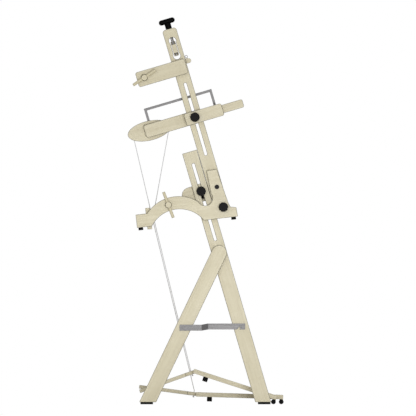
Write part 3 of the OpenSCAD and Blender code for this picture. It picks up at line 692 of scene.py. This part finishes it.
def coil_rings():
    """Rings of points around the wire, all along its helix."""
    slope = math.atan2(COIL_WIDTH / COIL_TURNS, 2 * math.pi * COIL_RADIUS)
    rings = []
    for i in range(COIL_TURNS * COIL_STEPS + 1):
        a = 2 * math.pi * i / COIL_STEPS
        along = i / COIL_STEPS * COIL_WIDTH / COIL_TURNS - COIL_WIDTH / 2
        centre = Vector((COIL_RADIUS * math.cos(a), along, COIL_RADIUS * math.sin(a)))
        out = Vector((math.cos(a), 0, math.sin(a)))
        side = Vector((math.sin(slope) * math.sin(a), math.cos(slope), -math.sin(slope) * math.cos(a)))
        ring = []
        for k in range(COIL_SIDES):
            t = 2 * math.pi * k / COIL_SIDES
            spot = centre + COIL_WIRE * (math.cos(t) * out + math.sin(t) * side)
            ring.append(lean_point(spot.x + COIL_ACROSS, spot.y, spot.z + COIL_UP))
        rings.append(ring)
    return rings


coil = skin("warp_coil_wire", coil_rings(), STEEL_DARK)
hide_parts("warp_coil")
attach(coil, "loom")


# Treadle cords. Each is a chain of lengths that share a ring where they meet, with a knot at each end.


def rocker_point(x, y, z):
    """A point in the oval rocker's own frame, in millimetres."""
    tilt = math.radians(ROCKER_TILT)
    return lean_point(
        ROCKER_V + x * math.cos(tilt) + z * math.sin(tilt), y,
        SHED_HEIGHT - x * math.sin(tilt) + z * math.cos(tilt))


def lever_point(x, y, z, angle):
    """A point in a treadle lever's own frame, in millimetres."""
    a = math.radians(angle)
    across = ROD_X + x * math.cos(a) - z * math.sin(a)
    up = ROD_Z + x * math.sin(a) + z * math.cos(a)
    return Vector((across, y, up)) * MM


def cord_points(arm, eye_y, side, angle):
    """The same route as the CAD cord's, drawn to one side of its eye."""
    through = EYE_X - EYE_SLACK * side
    edge = ROCKER_SHORT * math.sqrt(1 - (arm / ROCKER_LONG) ** 2)
    hole_y = side * TREADLE_Y
    return [
        rocker_point(arm, -CORD_Y, 0),
        rocker_point(arm, -CORD_Y, 2 - edge),
        rocker_point(arm, -CORD_Y, -2 - edge),
        base_point(through, eye_y - 1, EYE_Z + 4),
        base_point(through, eye_y, EYE_Z),
        base_point(through + 0.8, eye_y + 0.5 * side, EYE_Z - 4),
        lever_point(CORD_HOLE, hole_y, HOLE_TOP + 5, angle),
        lever_point(CORD_HOLE, hole_y, HOLE_TOP, angle),
        lever_point(CORD_HOLE, hole_y, KNOT_DROP, angle),
    ]


def spaced(points, step):
    """The route's points with more between them, at most step apart, in metres."""
    out = [points[0]]
    for a, b in zip(points, points[1:]):
        parts = max(1, math.ceil((b - a).length / step))
        out += [a.lerp(b, k / parts) for k in range(1, parts + 1)]
    return out


def strand_rings(line):
    """Rings of a twisted cord: its outline has a lobe for each strand, and turns once in each lay."""
    rings = []
    travelled = 0.0
    for i, point in enumerate(line):
        if i:
            travelled += (point - line[i - 1]).length
        ahead = line[min(i + 1, len(line) - 1)] - line[max(i - 1, 0)]
        direction = ahead.normalized()
        out = direction.cross(Vector((1, 0, 0))).normalized()
        up = direction.cross(out)
        turn = 2 * math.pi * travelled / CORD_LAY
        ring = []
        for k in range(CORD_SIDES):
            t = 2 * math.pi * k / CORD_SIDES
            wave = math.cos(CORD_STRANDS * (t - turn))
            reach = CORD_RADIUS * (1 - LOBE_DEPTH + LOBE_DEPTH * wave)
            ring.append(point + reach * (math.cos(t) * out + math.sin(t) * up))
        rings.append(ring)
    return rings


def knot(name, place, body):
    """An overhand knot: a thick trefoil of cord around the place."""
    line = []
    for i in range(KNOT_STEPS):
        t = 2 * math.pi * i / KNOT_STEPS
        line.append(Vector((
            math.sin(t) + 2 * math.sin(2 * t),
            math.cos(t) - 2 * math.cos(2 * t),
            -1.1 * math.sin(3 * t))) * KNOT_UNIT)
    rings = []
    for i, point in enumerate(line):
        direction = (line[(i + 1) % KNOT_STEPS] - line[i - 1]).normalized()
        out = direction.cross(Vector((0.3, 0.2, 1))).normalized()
        up = direction.cross(out)
        rings.append([
            place + point + KNOT_CORD_RADIUS * (math.cos(a) * out + math.sin(a) * up)
            for a in (2 * math.pi * k / KNOT_SIDES for k in range(KNOT_SIDES))])
    piece = skin(name, rings, CORD, sharp=60, loop=True)
    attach(piece, body)


def make_cord(label, arm, eye_y, side, angle, lever, share):
    """One cord, split at chosen distances along it into lengths.

    share is the part of the stretch above the eye that its top length takes.
    """
    points = cord_points(arm, eye_y, side, angle)
    line = spaced(points, CORD_RING_GAP)
    rings = strand_rings(line)

    def nearest(point):
        """The number of the ring that lies nearest a point."""
        return min(range(len(line)), key=lambda i: (line[i] - point).length)

    edge = nearest(points[2])
    eye = nearest(points[4])
    last = len(line) - 1

    def along(fraction):
        """The ring's number at a share of the stretch between the eye and the lever."""
        return eye + round(fraction * (last - eye))

    upper = round(share * eye)
    fold = along(LEG_SHARE)
    press = along(LEVER_SHARE)
    pieces = [
        ("top", 0, upper, "shed_rocker", "carriage", edge, upper),
        ("middle", upper, eye, "carriage", "loom", upper, round(EYE_ONLY_SHARE * eye)),
        ("low", eye, fold, "loom", "stand", eye + 6, fold),
        ("leg", fold, press, "stand", "legs", fold, press),
        ("foot", press, last, "legs", lever, press, along(LEVER_ONLY_SHARE)),
    ]
    for name, first, end, body, other, start, stop in pieces:
        piece = skin(f"{label}_cord_{name}", rings[first:end + 1], CORD)
        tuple(line[start])
        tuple(line[stop])
        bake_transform(piece)
        if name == "top":
            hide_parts("treadle_cords")
    knot(label + "_cord_upper_knot", points[0], "shed_rocker")
    knot(label + "_cord_lower_knot", points[-1], lever)


make_cord("back", BACK_ARM, BACK_EYE_Y, 1, LEVER_DOWN, "right_treadle", 0.25)
make_cord("front", FRONT_ARM, FRONT_EYE_Y, -1, LEVER_UP, "left_treadle", 0.21)

make_camera()
make_world()
make_floor()
make_light("key", (-0.8, -3.2, 1.5), (0, 0, 0.6), 2.4, 15)
make_light("fill", (0.5, -4.6, 0.45), (0, 0, 0.5), 1.2, 11, 70)
make_light("back", (0.4, 2.4, 2.6), (0, 0, 0.6), 1.6, 36)
